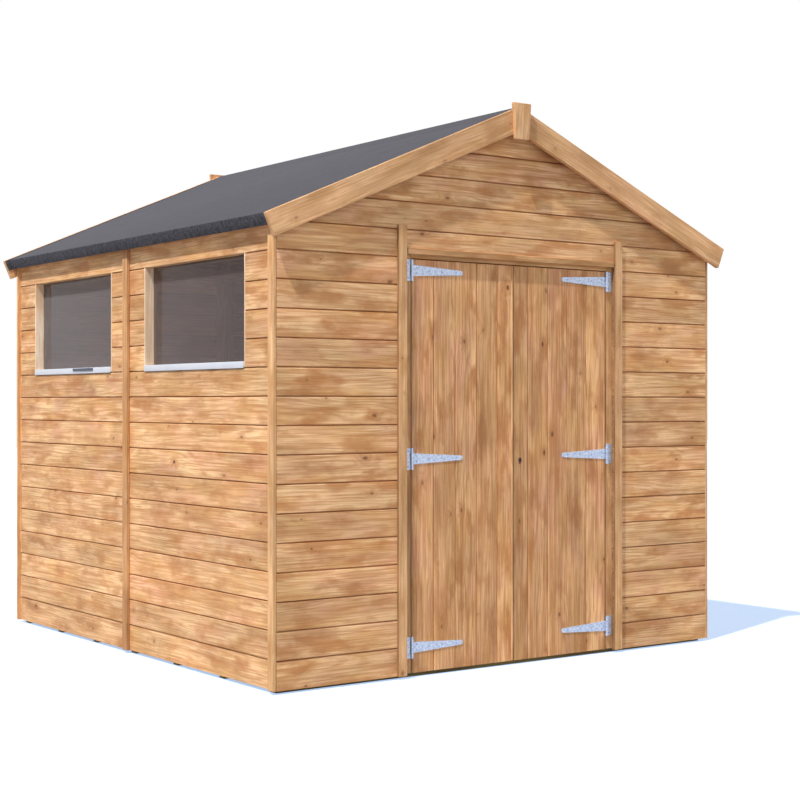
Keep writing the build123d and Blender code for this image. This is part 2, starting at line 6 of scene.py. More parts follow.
import bpy
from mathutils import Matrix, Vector


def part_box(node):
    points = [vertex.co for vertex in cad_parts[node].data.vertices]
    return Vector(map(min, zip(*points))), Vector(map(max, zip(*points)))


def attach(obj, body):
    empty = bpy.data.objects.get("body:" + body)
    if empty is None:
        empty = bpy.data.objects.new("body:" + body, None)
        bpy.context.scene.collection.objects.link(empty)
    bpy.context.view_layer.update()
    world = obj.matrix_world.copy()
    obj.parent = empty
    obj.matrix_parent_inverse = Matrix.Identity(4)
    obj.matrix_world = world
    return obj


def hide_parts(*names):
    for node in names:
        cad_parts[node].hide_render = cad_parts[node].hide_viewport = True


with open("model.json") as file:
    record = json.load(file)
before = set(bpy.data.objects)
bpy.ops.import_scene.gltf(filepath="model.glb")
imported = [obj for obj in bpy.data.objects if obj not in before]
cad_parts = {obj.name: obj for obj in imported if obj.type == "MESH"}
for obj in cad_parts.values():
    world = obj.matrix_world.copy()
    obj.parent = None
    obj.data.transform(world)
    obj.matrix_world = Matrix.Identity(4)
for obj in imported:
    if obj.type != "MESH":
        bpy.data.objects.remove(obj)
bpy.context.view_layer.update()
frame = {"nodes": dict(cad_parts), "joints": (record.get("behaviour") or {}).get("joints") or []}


# ---- Planed softwood -------------------------------------------------------------------------
# Spruce or pine, planed and left untreated, as all the boards and the framing are. The eye sees
# pale early wood, thin amber late wood in long arches, and small brown knots that turn the rings.
def srgb(code):
    """Linear colour of an sRGB hex value."""
    shares = [int(code[i : i + 2], 16) / 255 for i in (1, 3, 5)]
    return [s / 12.92 if s <= 0.04045 else ((s + 0.055) / 1.055) ** 2.4 for s in shares] + [1.0]


def add_node(tree, kind, settings=None, inputs=None):
    """A shader node with its settings, and its inputs given as values or as sockets to link."""
    node = tree.nodes.new(kind)
    for name, value in (settings or {}).items():
        setattr(node, name, value)
    for key, value in (inputs or {}).items():
        if isinstance(value, bpy.types.NodeSocket):
            tree.links.new(value, node.inputs[key])
        else:
            node.inputs[key].default_value = value
    return node


def new_finish(name):
    """An empty material and its node tree, with the output node in place."""
    finish = bpy.data.materials.new(name)
    finish.use_nodes = True
    finish.node_tree.nodes.clear()
    return finish, finish.node_tree, finish.node_tree.nodes.new("ShaderNodeOutputMaterial")


def planed_softwood(name, tones, rough=0.62, sawn=0.0, knots=0.5, seam=1.0):
    """Softwood in five colours: early wood, late wood, a pink and an ochre flush, and knots.

    Every length carries its own 'grain' coordinates (along, across and through it, in metres)
    and a 'lot' number, so no two lengths come from the same part of the tree. `knots` is the
    share of places for a knot that have one. Beyond `seam`, across the length, the colour is
    darkened halfway to the knot's: painted shade and dirt in the hollow under the board above.
    """
    early, late, pink, ochre, knot = [srgb(tone) for tone in tones]
    ring_width = 0.0085      # coarse growth rings, so that they show at the size of a wall
    pith_aside = 0.07        # the pith lies at most this far to either side of the board
    pith_behind = (0.012, 0.09)
    wander = 0.12            # how far the rings stray from true circles
    knot_bend = 0.016        # how far the rings are pushed out round a knot
    knot_cell = (0.6, 0.12)  # a place for a knot in each, along and across the face
    knot_radius = 0.0066
    seam_width = 0.004
    times = {"operation": "MULTIPLY"}
    smooth = {"interpolation_type": "SMOOTHSTEP"}
    finish, tree, out = new_finish(name)
    grain = add_node(tree, "ShaderNodeAttribute", {"attribute_name": "grain"}).outputs["Vector"]
    lot = add_node(tree, "ShaderNodeAttribute", {"attribute_name": "lot"}).outputs["Fac"]
    chance = add_node(
        tree, "ShaderNodeTexWhiteNoise", {"noise_dimensions": "1D"}, {"W": lot}
    ).outputs["Color"]
    chances = add_node(tree, "ShaderNodeSeparateColor", None, {"Color": chance}).outputs
    shift = add_node(
        tree, "ShaderNodeVectorMath", times, {0: chance, 1: (9.0, 4.0, 3.0)}
    ).outputs[0]
    place = add_node(tree, "ShaderNodeVectorMath", None, {0: grain, 1: shift}).outputs[0]

    def streaks(along, across, detail):
        """Noise drawn out along the grain, with this many waves a metre each way."""
        drawn = add_node(
            tree, "ShaderNodeVectorMath", times, {0: place, 1: (along, across, across)}
        ).outputs[0]
        return add_node(
            tree, "ShaderNodeTexNoise", None, {"Vector": drawn, "Scale": 1.0, "Detail": detail}
        ).outputs

    # Knots: one in each cell of the board's face, kept for a share of the cells. Their outline
    # is ragged, and they are longer along the grain.
    ragged = add_node(
        tree,
        "ShaderNodeVectorMath",
        {"operation": "MULTIPLY_ADD"},
        {0: streaks(45, 60, 2)[1], 1: (0.012, 0.008, 0.0), 2: place},
    ).outputs[0]
    cells = add_node(
        tree,
        "ShaderNodeVectorMath",
        times,
        {0: ragged, 1: (1 / knot_cell[0], 1 / knot_cell[1], 0.0)},
    ).outputs[0]
    cell = add_node(
        tree, "ShaderNodeTexVoronoi", {"voronoi_dimensions": "2D"}, {"Vector": cells, "Scale": 1.0}
    )
    apart = add_node(
        tree,
        "ShaderNodeVectorMath",
        {"operation": "SUBTRACT"},
        {0: cells, 1: cell.outputs["Position"]},
    ).outputs[0]
    apart = add_node(
        tree, "ShaderNodeVectorMath", times, {0: apart, 1: (knot_cell[0] * 0.6, knot_cell[1], 0.0)}
    ).outputs[0]
    reach = add_node(
        tree, "ShaderNodeVectorMath", {"operation": "LENGTH"}, {0: apart}
    ).outputs["Value"]
    kept = add_node(tree, "ShaderNodeSeparateColor", None, {"Color": cell.outputs["Color"]}).outputs
    grown = add_node(
        tree, "ShaderNodeMapRange", None, {"Value": kept[0], 1: 1 - knots, 2: 1.0, 3: 0.45, 4: 1.3}
    ).outputs[0]
    reach = add_node(
        tree, "ShaderNodeMath", {"operation": "DIVIDE"}, {0: reach, 1: grown}
    ).outputs[0]
    is_kept = add_node(
        tree, "ShaderNodeMath", {"operation": "GREATER_THAN"}, {0: kept[0], 1: 1 - knots}
    ).outputs[0]
    strength = add_node(
        tree, "ShaderNodeMapRange", None, {"Value": kept[1], 3: 0.5, 4: 1.0}
    ).outputs[0]
    strength = add_node(tree, "ShaderNodeMath", times, {0: strength, 1: is_kept}).outputs[0]
    spots = []
    for solid, gone in ((0.45, 1.3), (0.8, 5.0)):      # the knot and the halo, in knot radii
        spot = add_node(
            tree,
            "ShaderNodeMapRange",
            smooth,
            {"Value": reach, 1: knot_radius * solid, 2: knot_radius * gone, 3: 1.0, 4: 0.0},
        ).outputs[0]
        spots.append(
            add_node(tree, "ShaderNodeMath", times, {0: spot, 1: strength}).outputs[0]
        )
    core, halo = spots

    # Growth rings: round a pith that lies behind the board and wanders along it.
    parts = add_node(tree, "ShaderNodeSeparateXYZ", None, {0: grain}).outputs
    side = add_node(
        tree, "ShaderNodeMapRange", None, {"Value": chances[0], 3: -pith_aside, 4: pith_aside}
    ).outputs[0]
    depth = add_node(
        tree,
        "ShaderNodeMapRange",
        None,
        {"Value": chances[1], 3: pith_behind[0], 4: pith_behind[1]},
    ).outputs[0]
    side = add_node(
        tree, "ShaderNodeMath", {"operation": "SUBTRACT"}, {0: parts[1], 1: side}
    ).outputs[0]
    depth = add_node(tree, "ShaderNodeMath", None, {0: parts[2], 1: depth}).outputs[0]
    radius = add_node(
        tree,
        "ShaderNodeVectorMath",
        {"operation": "LENGTH"},
        {0: add_node(tree, "ShaderNodeCombineXYZ", None, {0: side, 1: depth}).outputs[0]},
    ).outputs["Value"]
    for share, amount in ((streaks(0.9, 5, 3)[0], wander), (halo, knot_bend)):
        radius = add_node(
            tree, "ShaderNodeMath", {"operation": "MULTIPLY_ADD"}, {0: share, 1: amount, 2: radius}
        ).outputs[0]
    turns = add_node(
        tree, "ShaderNodeMath", times, {0: radius, 1: 2 * math.pi / ring_width}
    ).outputs[0]
    wave = add_node(tree, "ShaderNodeMath", {"operation": "SINE"}, {0: turns}).outputs[0]
    rings = add_node(
        tree, "ShaderNodeMapRange", smooth, {"Value": wave, 1: -0.3, 2: 1.0, 3: 0.0, 4: 1.0}
    ).outputs[0]
    fibre = streaks(4.5, 130, 5)[0]
    ring_share = add_node(tree, "ShaderNodeMath", times, {0: rings, 1: fibre}).outputs[0]

    # Wide soft bands and fine fibres, both drawn coarser than real ones so that they show. Each
    # row has its noise, the two levels between which it grows, and the share that it reaches.
    shares = []
    for source, low, high, most in (
        (streaks(5.0, 9, 2)[0], 0.42, 0.62, 1.0),
        (streaks(4.0, 12, 2)[0], 0.46, 0.64, 0.7),
        (streaks(6.0, 15, 4)[0], 0.5, 0.66, 0.8),
        (streaks(2.2, 50, 4)[0], 0.5, 0.64, 0.55),
        (fibre, 0.47, 0.6, 0.5),
        (ring_share, 0.12, 0.6, 0.46),
    ):
        levels = {"Value": source, 1: low, 2: high, 3: 0.0, 4: most}
        shares.append(add_node(tree, "ShaderNodeMapRange", None, levels).outputs[0])
    pinkness = add_node(
        tree, "ShaderNodeMapRange", None, {"Value": chances[2], 3: 0.3, 4: 1.0}
    ).outputs[0]
    shares[0] = add_node(tree, "ShaderNodeMath", times, {0: shares[0], 1: pinkness}).outputs[0]
    halo_share = add_node(tree, "ShaderNodeMath", times, {0: halo, 1: 0.6}).outputs[0]
    tones_over = (pink, ochre, late, late, late, late, late, knot)
    colour = early
    for share, tone in zip(shares + [halo_share, core], tones_over):
        colour = add_node(
            tree, "ShaderNodeMix", {"data_type": "RGBA"}, {0: share, 6: colour, 7: tone}
        ).outputs[2]
    # Painted shade and dirt: beyond `seam` across the length, in the hollow under the board above,
    # the colour goes halfway to the knot colour.
    levels = {"Value": parts[1], 1: seam, 2: seam + seam_width, 3: 0.0, 4: 0.5}
    painted_shade_and_dirt = add_node(tree, "ShaderNodeMapRange", None, levels).outputs[0]
    colour = add_node(
        tree, "ShaderNodeMix", {"data_type": "RGBA"}, {0: painted_shade_and_dirt, 6: colour, 7: knot}
    ).outputs[2]
    # Each length has a tone of its own, which also drifts slowly over it.
    levels = {"Value": streaks(3.0, 10, 3)[0], 1: 0.35, 2: 0.65, 3: 0.88, 4: 1.18}
    drift = add_node(tree, "ShaderNodeMapRange", None, levels).outputs[0]
    tone = add_node(
        tree, "ShaderNodeMapRange", None, {"Value": chances[1], 3: 0.9, 4: 1.15}
    ).outputs[0]
    tone = add_node(tree, "ShaderNodeMath", times, {0: tone, 1: drift}).outputs[0]
    colour = add_node(
        tree, "ShaderNodeVectorMath", {"operation": "SCALE"}, {0: colour, "Scale": tone}
    ).outputs[0]

    relief = add_node(
        tree, "ShaderNodeMath", {"operation": "MULTIPLY_ADD"}, {0: rings, 1: 0.35, 2: fibre}
    ).outputs[0]
    if sawn:
        relief = add_node(
            tree,
            "ShaderNodeMath",
            {"operation": "MULTIPLY_ADD"},
            {0: streaks(190, 30, 2)[0], 1: sawn, 2: relief},
        ).outputs[0]
    bump = add_node(
        tree, "ShaderNodeBump", None, {"Strength": 0.35, "Distance": 0.0012, "Height": relief}
    ).outputs[0]
    dull = add_node(
        tree, "ShaderNodeMapRange", None, {"Value": fibre, 3: rough - 0.06, 4: rough + 0.1}
    ).outputs[0]
    surface = add_node(
        tree,
        "ShaderNodeBsdfPrincipled",
        None,
        {"Base Color": colour, "Roughness": dull, "Normal": bump, "Specular IOR Level": 0.35},
    ).outputs[0]
    tree.links.new(surface, out.inputs["Surface"])
    return finish


# The seam puts painted shade and dirt along the top of each board, in its hollow.
cladding_wood = planed_softwood(
    "planed_cladding",
    ("#FDD3A0", "#BD7E4A", "#EBB490", "#DEAC6E", "#653920"),
    knots=0.65,
    seam=0.0485,
)
frame_wood = planed_softwood(
    "planed_framing", ("#EAC391", "#BA8249", "#DDA97F", "#CDA069", "#74472A")
)


# ---- Floor bearers and framing ---------------------------------------------------------------
# Square lengths of timber, planed with eased edges and nailed together. The bearers under the
# floor are sawn and pressure treated, which leaves them a dull green-brown.
chooser = random.Random(11)


def deselect_all():
    bpy.ops.object.select_all(action="DESELECT")


def work_on(piece):
    """Make one piece the only selected and the active one."""
    deselect_all()
    piece.select_set(True)
    bpy.context.view_layer.objects.active = piece


def settle():
    """Put the place, turn and scale of the selected piece into its mesh."""
    bpy.ops.object.transform_apply(location=True, rotation=True, scale=True)


def copy_of(item):
    """A copy with a mesh of its own, selected alone."""
    copy = item.copy()
    copy.data = item.data.copy()
    copy.parent = None
    bpy.context.scene.collection.objects.link(copy)
    work_on(copy)
    return copy


def open_up():
    """Go into edit mode with all of the active piece selected."""
    bpy.ops.object.mode_set(mode="EDIT")
    bpy.ops.mesh.select_all(action="SELECT")


def mark_grain(piece, along, across, through, origin):
    """Store where each point lies along, across and through its length of timber."""
    mesh = piece.data
    mesh.attributes.new("grain", "FLOAT_VECTOR", "POINT")
    mesh.attributes.new("lot", "FLOAT", "POINT")
    grain, lot = mesh.attributes["grain"], mesh.attributes["lot"]
    number = chooser.uniform(0, 100)
    for vertex, here, share in zip(mesh.vertices, grain.data, lot.data):
        apart = vertex.co - origin
        here.vector = (apart.dot(along), apart.dot(across), apart.dot(through))
        share.value = number


def ease_edges(piece, width, segments=2):
    """Round the arrises of a finished timber, as a hand plane or a sander does."""
    work_on(piece)
    bevel = piece.modifiers.new("eased", "BEVEL")
    bevel.width = width
    bevel.segments = segments
    bevel.limit_method = "ANGLE"
    bevel.angle_limit = math.radians(28)
    bevel.use_clamp_overlap = True
    bpy.ops.object.modifier_apply(modifier="eased")
    bpy.ops.object.shade_smooth_by_angle(angle=math.radians(25))


def timbers_of(node):
    """The lengths of timber in a node, each a piece of its own with its own grain."""
    copy_of(frame["nodes"][node])
    open_up()
    bpy.ops.mesh.remove_doubles(threshold=1e-5)
    bpy.ops.mesh.dissolve_limited(angle_limit=math.radians(1))
    bpy.ops.mesh.separate(type="LOOSE")
    bpy.ops.object.mode_set(mode="OBJECT")
    lengths = list(bpy.context.selected_objects)
    lengths.sort(key=lambda item: tuple(round(value, 4) for value in item.data.vertices[0].co))
    for item in lengths:
        mesh = item.data
        ends = max(
            ([mesh.vertices[i].co for i in edge.vertices] for edge in mesh.edges),
            key=lambda pair: round((pair[1] - pair[0]).length, 4),
        )
        along = (ends[1] - ends[0]).normalized()
        if sum(along) < 0:
            along = -along
        broad = max(
            (face for face in mesh.polygons if abs(face.normal.dot(along)) < 0.3),
            key=lambda face: round(face.area, 6),
        )
        through = (broad.normal - along * broad.normal.dot(along)).normalized()
        middle = sum((vertex.co for vertex in mesh.vertices), Vector()) / len(mesh.vertices)
        mark_grain(item, along, through.cross(along), through, middle)
    return lengths


def join(lengths, name):
    """One piece out of several lengths."""
    deselect_all()
    for item in lengths:
        item.select_set(True)
    bpy.context.view_layer.objects.active = lengths[0]
    if len(lengths) > 1:
        bpy.ops.object.join()
    piece = bpy.context.view_layer.objects.active
    piece.name = name
    piece.data.name = name
    return piece


def fit(piece, body, slot, finish, *stands_for):
    """Give a finished piece its material and its body, and hide the solids it stands for. `slot` is
    not used.
    """
    piece.data.materials.clear()
    piece.data.materials.append(finish)
    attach(piece, body)
    if stands_for:
        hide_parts(*stands_for)
    return piece


def timber_piece(node, name, finish, slot, body="shed", edge=0.0012):
    """The timbers of one node, with eased edges and their own grain."""
    piece = join(timbers_of(node), name)
    ease_edges(piece, edge)
    return fit(piece, body, slot, finish, node)


treated_wood = planed_softwood(
    "sawn_treated_bearer", ("#8E8057", "#5F5434", "#7A6B45", "#74703F", "#3B3220"), 0.8, 0.8
)
timber_piece("floor_bearers", "bearers", treated_wood, "bearer_timber", edge=0.002)
for node in (
    "front_frame_posts",
    "front_frame_rails",
    "rear_frame_posts",
    "rear_frame_rails",
    "side_frame_posts",
    "side_frame_rails",
    "gable_rafters",
    "gable_posts",
    "roof_battens",
    "truss_rafters",
    "truss_tie",
    "roof_edge_battens",
):
    timber_piece(node, node + "_planed", frame_wood, "frame_timber")

# The door posts show only in the narrow gaps beside the leaves, and their wood is darker
# to paint the shade there.
shaded_post_wood = planed_softwood(
    "planed_door_post", ("#D9AE7F", "#A67243", "#C89670", "#BC8D5B", "#684026")
)
timber_piece("door_posts", "door_posts_planed", shaded_post_wood, "frame_timber")


# ---- Floor boards ----------------------------------------------------------------------------
# Tongued boards from front to rear, nailed to every bearer, with a thin open joint between them.
floor_wood = planed_softwood(
    "planed_floor", ("#E0B683", "#AA733A", "#CE9C70", "#BE925A", "#6A4024"), 0.55
)
floor_pitch = 0.1
board_joint = 0.0008


def plain_board(name, low, high, edge, run=1):
    """A square board between two corners, whose grain runs along axis number `run`."""
    deselect_all()
    low, high = Vector(low), Vector(high)
    bpy.ops.mesh.primitive_cube_add(size=1, location=(low + high) / 2, scale=high - low)
    board = bpy.context.object
    settle()
    board.name = name
    if edge:
        open_up()
        bpy.ops.mesh.bevel(offset=edge, segments=2, affect="EDGES")
        bpy.ops.object.mode_set(mode="OBJECT")
    axes = [Vector((1, 0, 0)), Vector((0, 1, 0)), Vector((0, 0, 1))]
    along = axes.pop(run)
    size = high - low
    axes.sort(key=lambda axis: -abs(size.dot(axis)))
    mark_grain(board, along, axes[0], axes[1], (low + high) / 2)
    return board


low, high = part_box("floor_deck")
boards = []
left = low.x
while left < high.x - 0.001:
    right = min(left + floor_pitch, high.x)
    boards.append(
        plain_board(
            "floor_board",
            (left + board_joint / 2, low.y, low.z),
            (right - board_joint / 2, high.y, high.z),
            0.0008,
        )
    )
    left = right
fit(join(boards, "floor_boards"), "shed", "floor_timber", floor_wood, "floor_deck")


# ---- Wall boards -----------------------------------------------------------------------------
# Shiplap boards, 112 mm apart. Each has a hollow worked along its top edge, under the square
# foot of the board above, which makes the dark line between two boards, deepened by painted
# shade and dirt in the wood's colour there. They are nailed tight to the posts, each on the one
# below.
pitch = 0.112
first_joint = 0.129
board_thickness = 0.012
hollow = 0.0075
board_foot_edge = 0.0012
wall_low, wall_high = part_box("rear_cladding")
gable_low, gable_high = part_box("front_gable_cladding")
wall_foot = wall_low.z
wall_x = wall_high.x
ridge_z = gable_high.z
roof_slope = (ridge_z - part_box("right_cladding")[1].z) / (wall_x - board_thickness)


def pick(piece, kind, test):
    """Select the edges or faces of a piece that pass a test, and go into edit mode."""
    work_on(piece)
    mesh = piece.data
    for group in (mesh.vertices, mesh.edges, mesh.polygons):
        group.foreach_set("select", [False] * len(group))
    for item in getattr(mesh, kind):
        item.select = test(item)
    bpy.context.tool_settings.mesh_select_mode = (False, kind == "edges", kind == "polygons")
    bpy.ops.object.mode_set(mode="EDIT")


def edge_at(piece, **place):
    """Test for an edge whose two ends both lie at these coordinates, given by their axes."""
    points = piece.data.vertices

    def test(edge):
        ends = [points[i].co for i in edge.vertices]
        return all(abs(getattr(end, a) - at) < 1e-5 for end in ends for a, at in place.items())

    return test


def bevel_edges(piece, test, width, segments, profile=0.5):
    """Work a bevel along the edges that pass a test."""
    pick(piece, "edges", test)
    bpy.ops.mesh.bevel(offset=width, segments=segments, profile=profile, affect="EDGES")
    bpy.ops.object.mode_set(mode="OBJECT")


# The pattern board is one metre long, with its outer face at y = 0 and its back at +12 mm.
deselect_all()
bpy.ops.mesh.primitive_cube_add(
    size=1, location=(0.5, board_thickness / 2, pitch / 2), scale=(1, board_thickness, pitch)
)
pattern = bpy.context.object
pattern.name = "pattern_board"
settle()
bevel_edges(pattern, edge_at(pattern, y=0, z=pitch), hollow, 5, 0.22)
bevel_edges(pattern, edge_at(pattern, y=0, z=0), board_foot_edge, 2)


def wall_board(start, end, row):
    """One board of a wall that faces -Y, from start to end along X. Row 0 is the lowest."""
    foot = wall_foot if row == 0 else first_joint + (row - 1) * pitch
    height = first_joint - wall_foot if row == 0 else pitch
    board = copy_of(pattern)
    board.scale = (end - start, 1, height / pitch)
    board.location = (start, 0, foot)
    settle()
    middle = Vector(((start + end) / 2, 0, foot + height / 2))
    mark_grain(board, Vector((1, 0, 0)), Vector((0, 0, 1)), Vector((0, 1, 0)), middle)
    return board


def saw(piece, point, normal):
    """Cut a piece through by a plane and drop what lies on the normal's side."""
    work_on(piece)
    open_up()
    bpy.ops.mesh.bisect(
        plane_co=point, plane_no=normal, use_fill=True, clear_outer=True, threshold=1e-6
    )
    bpy.ops.object.mode_set(mode="OBJECT")


def stand_wall(piece, turn, offset):
    """Turn a wall drawn facing -Y about the upright axis, and set it in its place."""
    work_on(piece)
    piece.rotation_euler = (0, 0, math.radians(turn))
    piece.location = offset
    settle()


# Faces that look left or right, the sawn ends of the boards and the edges of the door strips,
# get a rougher, darker wood: partly darker end grain, partly painted shade on faces that the
# key light reaches.
sawn_end_shaded_wood = planed_softwood(
    "sawn_end_painted_shade", ("#B08C66", "#7C5836", "#A07A5C", "#967250", "#4E3220"), 0.8, 0.8
)


def shade_side_faces(piece):
    """Give the faces that look left or right the darker sawn wood: end grain and painted shade."""
    piece.data.materials.append(sawn_end_shaded_wood)
    for face in piece.data.polygons:
        if abs(face.normal.x) > 0.7:
            face.material_index = 1


top_row = 15      # row whose top edge is the foot of the gables
gable_rows = range(top_row + 1, top_row + 6)
for node, name in (
    ("front_cladding_left", "front_left_boards"),
    ("front_cladding_right", "front_right_boards"),
):
    low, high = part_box(node)
    wall = join([wall_board(low.x, high.x, row) for row in range(top_row + 1)], name)
    stand_wall(wall, 0, (0, low.y, 0))
    fit(wall, "shed", "cladding_timber", cladding_wood, node)
    shade_side_faces(wall)

low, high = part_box("door_head_board")
head = wall_board(low.x, high.x, top_row)
saw(head, (0, 0, low.z), (0, 0, -1))
stand_wall(head, 0, (0, low.y, 0))
fit(join([head], "head_board"), "shed", "cladding_timber", cladding_wood, "door_head_board")

# The rear wall is drawn as seen from behind, so that turning it round sets it in its place.
rear = []
for start, end in ((wall_low.x, -board_joint / 2), (board_joint / 2, wall_high.x)):
    rear.extend(wall_board(start, end, row) for row in range(top_row + 1))
rear = join(rear, "rear_boards")
stand_wall(rear, 180, (0, wall_high.y, 0))
fit(rear, "shed", "cladding_timber", cladding_wood, "rear_cladding")

for node, name, turn, face in (
    ("front_gable_cladding", "front_gable_boards", 0, gable_low.y),
    ("rear_gable_cladding", "rear_gable_boards", 180, -gable_low.y),
):
    gable = join([wall_board(-wall_x, wall_x, row) for row in gable_rows], name)
    for side in (-1, 1):
        saw(gable, (0, 0, ridge_z), (side * roof_slope, 0, 1))
    stand_wall(gable, turn, (0, face, 0))
    fit(gable, "shed", "cladding_timber", cladding_wood, node)

# Side walls: drawn along X as seen from outside, then turned. The window takes four rows.
window_rows = range(11, 15)


def side_wall(name, node, turn, hole):
    """Boards of one side panel, with a hole for its window between two places along Y."""
    low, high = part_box(node)
    # Seen from the left, where the windows are, +X of the drawing is -Y of the shed; from the
    # right it is +Y.
    spans = (low.y, high.y) if turn == 90 else (-high.y, -low.y)
    lengths = []
    for row in range(top_row + 2):
        cuts = [spans]
        if hole and row in window_rows:
            cuts = [(spans[0], -hole[1]), (-hole[0], spans[1])]
        lengths.extend(wall_board(start, end, row) for start, end in cuts)
    wall = join(lengths, name)
    # The top board is cut to the slope of the roof, and follows it through its thickness.
    saw(wall, (0, 0, ridge_z - roof_slope * wall_x), (0, -roof_slope, 1))
    stand_wall(wall, turn, (wall_x if turn == 90 else -wall_x, 0, 0))
    return wall


linings = frame["nodes"]["window_linings"].data.vertices
edges_y = sorted({round(vertex.co.y, 5) for vertex in linings})
rear_hole = (edges_y[4], edges_y[7])
front_hole = (edges_y[0], edges_y[3])
for name, node, turn, hole in (
    ("left_front_boards", "left_front_cladding", -90, front_hole),
    ("left_rear_boards", "left_rear_cladding", -90, rear_hole),
    ("right_boards", "right_cladding", 90, None),
):
    wall = side_wall(name, node, turn, hole)
    fit(wall, "shed", "cladding_timber", cladding_wood, node)
bpy.data.objects.remove(pattern)


# ---- Cover strips, linings and beads ---------------------------------------------------------
# Planed strips that hide the ends of the boards, and the thin timbers round the panes.
trim_wood = planed_softwood(
    "planed_strip", ("#DDAE7E", "#A87444", "#CB9570", "#C1915B", "#6A4026")
)
pale_strip_wood = planed_softwood(
    "planed_pale_strip", ("#FBCF9D", "#C08A56", "#EBB68F", "#DFAF76", "#7A4C2F")
)
lining_wood = planed_softwood(
    "planed_lining", ("#FFEBD2", "#E0BC98", "#F6D6BC", "#F0D0A8", "#9A6C4C")
)
for node, finish, edge in (
    ("corner_strips", pale_strip_wood, 0.0025),
    ("joint_cover_strips", trim_wood, 0.0025),
    ("door_cover_strips", pale_strip_wood, 0.0012),
    ("door_head_strip", trim_wood, 0.002),
    ("window_linings", lining_wood, 0.001),
    ("window_level_beads", trim_wood, 0.002),
    ("window_upright_beads", trim_wood, 0.002),
):
    strips = timber_piece(node, node + "_planed", finish, "trim_timber", edge=edge)
    # The strips' edges that look left or right are given painted shade this way too.
    if node == "door_cover_strips":
        shade_side_faces(strips)


# ---- Windows ---------------------------------------------------------------------------------
# A clear glazing sheet in each hole, a white coated metal strip over the foot of the hole, and
# a dark moulded grip on the rear one. The sheets mirror the sky a little when seen at a slant.
glazing, tree, out = new_finish("clear_glazing_sheet")
slant = add_node(tree, "ShaderNodeFresnel", None, {"IOR": 1.5}).outputs[0]
outside = add_node(
    tree,
    "ShaderNodeMath",
    {"operation": "SUBTRACT"},
    {0: 1.0, 1: add_node(tree, "ShaderNodeNewGeometry").outputs["Backfacing"]},
).outputs[0]
gleam = add_node(
    tree, "ShaderNodeMath", {"operation": "MULTIPLY"}, {0: slant, 1: outside}
).outputs[0]
dulled = 0.5      # share of its gleam that the dust leaves
mirror_share = add_node(
    tree, "ShaderNodeMath", {"operation": "MULTIPLY"}, {0: gleam, 1: dulled}
).outputs[0]
clear = add_node(tree, "ShaderNodeBsdfTransparent", None, {"Color": srgb("#D9DCE0")}).outputs[0]
mirror = add_node(
    tree, "ShaderNodeBsdfGlossy", None, {"Color": srgb("#F4F6FA"), "Roughness": 0.03}
).outputs[0]
# A thin film of dust from the timber dulls the sheets, more so away from the doors.
on_pane = add_node(tree, "ShaderNodeTexCoord").outputs["Object"]
dust = add_node(
    tree, "ShaderNodeTexNoise", None, {"Vector": on_pane, "Scale": 3.5, "Detail": 4.0}
).outputs[0]
patchy = add_node(
    tree, "ShaderNodeMapRange", None, {"Value": dust, 1: 0.3, 2: 0.7, 3: 0.01, 4: 0.05}
).outputs[0]
to_rear = add_node(tree, "ShaderNodeSeparateXYZ", None, {"Vector": on_pane}).outputs["Y"]
settled = add_node(
    tree, "ShaderNodeMapRange", None, {"Value": to_rear, 1: -1.0, 2: 1.05, 3: 0.07, 4: 0.28}
).outputs[0]
dust_share = add_node(
    tree, "ShaderNodeMath", {"operation": "ADD"}, {0: patchy, 1: settled}
).outputs[0]
film = add_node(tree, "ShaderNodeBsdfDiffuse", None, {"Color": srgb("#9E9798")}).outputs[0]
dusty = add_node(tree, "ShaderNodeMixShader", None, {0: dust_share, 1: clear, 2: film}).outputs[0]
sheet_mix = add_node(tree, "ShaderNodeMixShader", None, {0: mirror_share, 1: dusty, 2: mirror})
tree.links.new(sheet_mix.outputs[0], out.inputs["Surface"])
panes = frame["nodes"]["window_panes"]
panes.data.materials.clear()
panes.data.materials.append(glazing)

sill_white, tree, out = new_finish("white_coated_strip")
cloud = add_node(tree, "ShaderNodeTexCoord").outputs["Object"]
stain = add_node(
    tree, "ShaderNodeTexNoise", None, {"Vector": cloud, "Scale": 14.0, "Detail": 5.0}
).outputs[0]
coat = add_node(
    tree, "ShaderNodeMix", {"data_type": "RGBA"}, {0: stain, 6: srgb("#E6E8F0"), 7: srgb("#CDD2DE")}
).outputs[2]
gloss = add_node(tree, "ShaderNodeMapRange", None, {"Value": stain, 3: 0.28, 4: 0.42}).outputs[0]
surface = add_node(
    tree, "ShaderNodeBsdfPrincipled", None, {"Base Color": coat, "Roughness": gloss, "IOR": 1.5}
).outputs[0]
tree.links.new(surface, out.inputs["Surface"])
sills = join(timbers_of("window_sills"), "window_sill_strips")
ease_edges(sills, 0.0022, 3)
fit(sills, "shed", "sill_paint", sill_white, "window_sills")

dark_grip, tree, out = new_finish("moulded_dark_plastic")
grit = add_node(
    tree,
    "ShaderNodeTexNoise",
    None,
    {"Vector": add_node(tree, "ShaderNodeTexCoord").outputs["Object"], "Scale": 900.0},
).outputs[0]
surface = add_node(
    tree,
    "ShaderNodeBsdfPrincipled",
    None,
    {
        "Base Color": srgb("#4A4E5C"),
        "Roughness": 0.5,
        "Normal": add_node(
            tree, "ShaderNodeBump", None, {"Height": grit, "Strength": 0.2, "Distance": 0.0003}
        ).outputs[0],
    },
).outputs[0]
tree.links.new(surface, out.inputs["Surface"])
grip = join(timbers_of("window_catch"), "window_grip")
ease_edges(grip, 0.0018, 3)
fit(grip, "shed", "catch_plastic", dark_grip, "window_catch")


